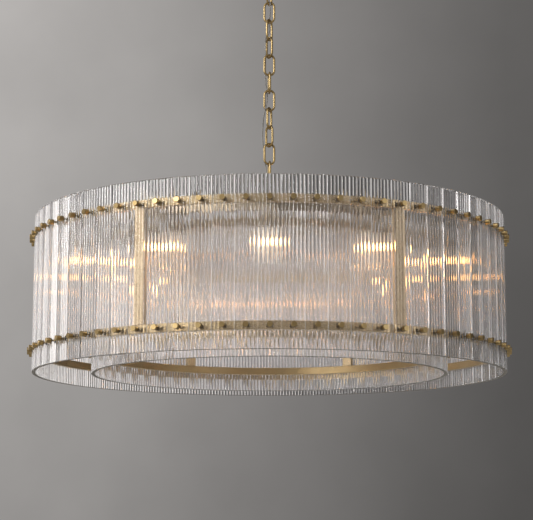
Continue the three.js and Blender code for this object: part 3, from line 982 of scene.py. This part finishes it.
def screw_collar():
    """A round nut under the canopy, knurled where fingers hold it."""
    bottom = low("screw_collar").z
    top = high("screw_collar").z
    points, faces = lathe([
        (CEILING_BORE, bottom),
        (COLLAR_FOOT_RADIUS, bottom),
        (COLLAR_RADIUS, bottom + COLLAR_EDGE),
        (COLLAR_RADIUS, top - COLLAR_EDGE),
        (COLLAR_TOP_RADIUS, top),
        (CEILING_BORE, top),
        (CEILING_BORE, bottom),
    ], steps=96)
    points = [Vector(point) for point in points]
    for point in points[1::2]:
        if point.xy.length > (COLLAR_TOP_RADIUS + COLLAR_RADIUS) / 2:
            point.xy = point.xy * KNURL_SHARE
    grip = Shape().add((points, faces))
    piece("screw_collar_knurled", grip, BRASS, "ceiling_mounting", ["screw_collar"], smooth=12)


def strap():
    """The zinc of the ceiling strap, and the round heads of the screws in its slots."""
    head_shares = [(0, 1), (0.52, 0.96), (0.88, 0.72), (1, 0.32), (1, 0)]
    head = [
        (SCREW_HEAD_RADIUS * radius, -SCREW_SEAT - SCREW_HEAD_HEIGHT * height)
        for radius, height in head_shares
    ]
    screw = lathe(head + [(SCREW_RADIUS, -SCREW_SEAT), (SCREW_RADIUS, 0), (0, 0)], steps=24)
    screws = Shape()
    for side in (-1, 1):
        screws.add(screw, Matrix.Translation((side * SCREW_SPACING / 2, 0, 0)))
    piece("strap_screws", screws, ZINC, "ceiling_mounting")
    bar = frame["nodes"]["ceiling_strap"]
    bar.data.materials.clear()
    bar.data.materials.append(ZINC)


def world():
    """Plain studio surroundings. The wall runs from light grey on the left to darker grey on the
    right, and only the camera sees it. Everything else meets the room, where soft white boxes stand
    on both sides for glass and metal to catch."""
    surround = bpy.data.worlds.new("studio")
    bpy.context.scene.world = surround
    surround.use_nodes = True
    tree = surround.node_tree
    tree.nodes.clear()
    add = tree.nodes.new
    join = tree.links.new
    place = add("ShaderNodeTexCoord").outputs["Generated"]
    split = add("ShaderNodeSeparateXYZ")
    join(place, split.inputs["Vector"])
    bearing = add("ShaderNodeMath")
    bearing.operation = "ARCTAN2"
    join(split.outputs["X"], bearing.inputs[0])
    join(split.outputs["Y"], bearing.inputs[1])

    def ramp(source, stops, tint=(1, 1, 1)):
        """Tones by the value of the source, from (value, tone) stops."""
        first, last = stops[0][0], stops[-1][0]
        span = add("ShaderNodeMapRange")
        span.inputs["From Min"].default_value = first
        span.inputs["From Max"].default_value = last
        join(source, span.inputs["Value"])
        node = add("ShaderNodeValToRGB")
        elements = node.color_ramp.elements
        while len(elements) < len(stops):
            elements.new(0.5)
        for element, (value, tone) in zip(elements, stops):
            element.position = (value - first) / (last - first)
            element.color = (tone * tint[0], tone * tint[1], tone * tint[2], 1)
        join(span.outputs["Result"], node.inputs["Fac"])
        return node.outputs["Color"]

    def product(first, second):
        node = add("ShaderNodeMix")
        node.data_type = "RGBA"
        node.blend_type = "MULTIPLY"
        node.inputs["Factor"].default_value = 1
        join(first, node.inputs["A"])
        join(second, node.inputs["B"])
        return node.outputs["Result"]

    def background(colour, strength=1):
        node = add("ShaderNodeBackground")
        node.inputs["Strength"].default_value = strength
        join(colour, node.inputs["Color"])
        return node.outputs["Background"]

    def choose(ray, otherwise, chosen):
        node = add("ShaderNodeMixShader")
        join(rays.outputs[ray], node.inputs["Fac"])
        join(otherwise, node.inputs[1])
        join(chosen, node.inputs[2])
        return node.outputs["Shader"]

    cloud = add("ShaderNodeTexNoise")
    cloud.inputs["Scale"].default_value = 14
    cloud.inputs["Detail"].default_value = 5
    join(place, cloud.inputs["Vector"])
    mottle = ramp(cloud.outputs["Fac"], [(0.25, 0.93), (0.75, 1.07)])
    stops = [(math.radians(degrees), tone) for degrees, tone in WALL_TONES]
    wall = product(ramp(bearing.outputs["Value"], stops, WALL_TINT), mottle)
    wall = product(wall, ramp(split.outputs["Z"], WALL_FALL))
    stops = [(math.radians(degrees), tone) for degrees, tone in ROOM_TONES]
    room = ramp(bearing.outputs["Value"], stops, WALL_TINT)
    room = product(room, ramp(split.outputs["Z"], ROOM_FALL))
    rays = add("ShaderNodeLightPath")
    shader = choose("Is Diffuse Ray", background(room), background(room, DIFFUSE_STRENGTH))
    shader = choose("Is Camera Ray", shader, background(wall))
    output = add("ShaderNodeOutputWorld")
    join(shader, output.inputs["Surface"])


def area_light(name, place, target, size, power, colour, spread):
    data = bpy.data.lights.new(name, "AREA")
    data.shape = "RECTANGLE"
    data.size, data.size_y = size
    data.energy = power
    data.color = colour
    data.spread = math.radians(spread)
    light = bpy.data.objects.new(name, data)
    light.location = place
    light.rotation_euler = (Vector(target) - Vector(place)).to_track_quat("-Z", "Y").to_euler()
    bpy.context.scene.collection.objects.link(light)


def studio():
    """Soft light from the upper left, a weaker fill from the right, and a pale floor."""
    centre = (0, 0, RIM + 0.2)
    area_light(
        "key", (-3.4, -3.2, 1), centre, size=(1.6, 2.4), power=30, colour=(1, 0.985, 0.96), spread=80,
    )
    area_light(
        "fill", (3.6, -2.6, -0.4), centre, size=(1, 2.4), power=2, colour=(0.95, 0.97, 1), spread=80,
    )
    nodes = Nodes("pale_floor")
    tone = nodes.noise(1.5)
    nodes.colour(nodes.ramp(tone, [(0.3, (0.5, 0.49, 0.475)), (0.7, (0.56, 0.55, 0.535))]))
    nodes.rough(nodes.span(tone, 0.6, 0.75))
    mesh = bpy.data.meshes.new("floor")
    corners = [
        (x * FLOOR_REACH, y * FLOOR_REACH, RIM - FLOOR_DROP)
        for x, y in ((-1, -1), (1, -1), (1, 1), (-1, 1))
    ]
    mesh.from_pydata(corners, [], [(0, 1, 2, 3)])
    mesh.materials.append(nodes.material)
    floor = bpy.data.objects.new("floor", mesh)
    bpy.context.scene.collection.objects.link(floor)


cord()
chain()
loop("canopy_loop_ring", "canopy_loop", "ceiling_mounting", high("canopy_loop").z, False)
loop("hub_loop_ring", "hub_loop", "lamp", HUB_LOOP_BASE, True)
canopy()
screw_collar()
strap()
spider()
finial()
stem()
lamp_ring()
bulbs()
hoops("outer", OUTER_HOOP_FACE, OUTER_UPPER_HOOP, OUTER_PANELS * STEPS_PER_PANEL)
hoops("inner", INNER_HOOP_FACE, INNER_UPPER_HOOP, INNER_PANELS * STEPS_PER_PANEL)
drum("outer", OUTER_CREST, OUTER_PANELS, OUTER_SECTORS, OUTER_TOP, OUTER_GLASS)
drum("inner", INNER_CREST, INNER_PANELS, INNER_SECTORS, INNER_TOP, INNER_GLASS)
knobs("outer", OUTER_CREST, OUTER_PANELS, (LOWER_HOOP, OUTER_UPPER_HOOP))
knobs("inner", INNER_CREST, INNER_PANELS, (LOWER_HOOP, INNER_UPPER_HOOP))
world()
studio()

bpy.context.scene.view_settings.view_transform = "Standard"
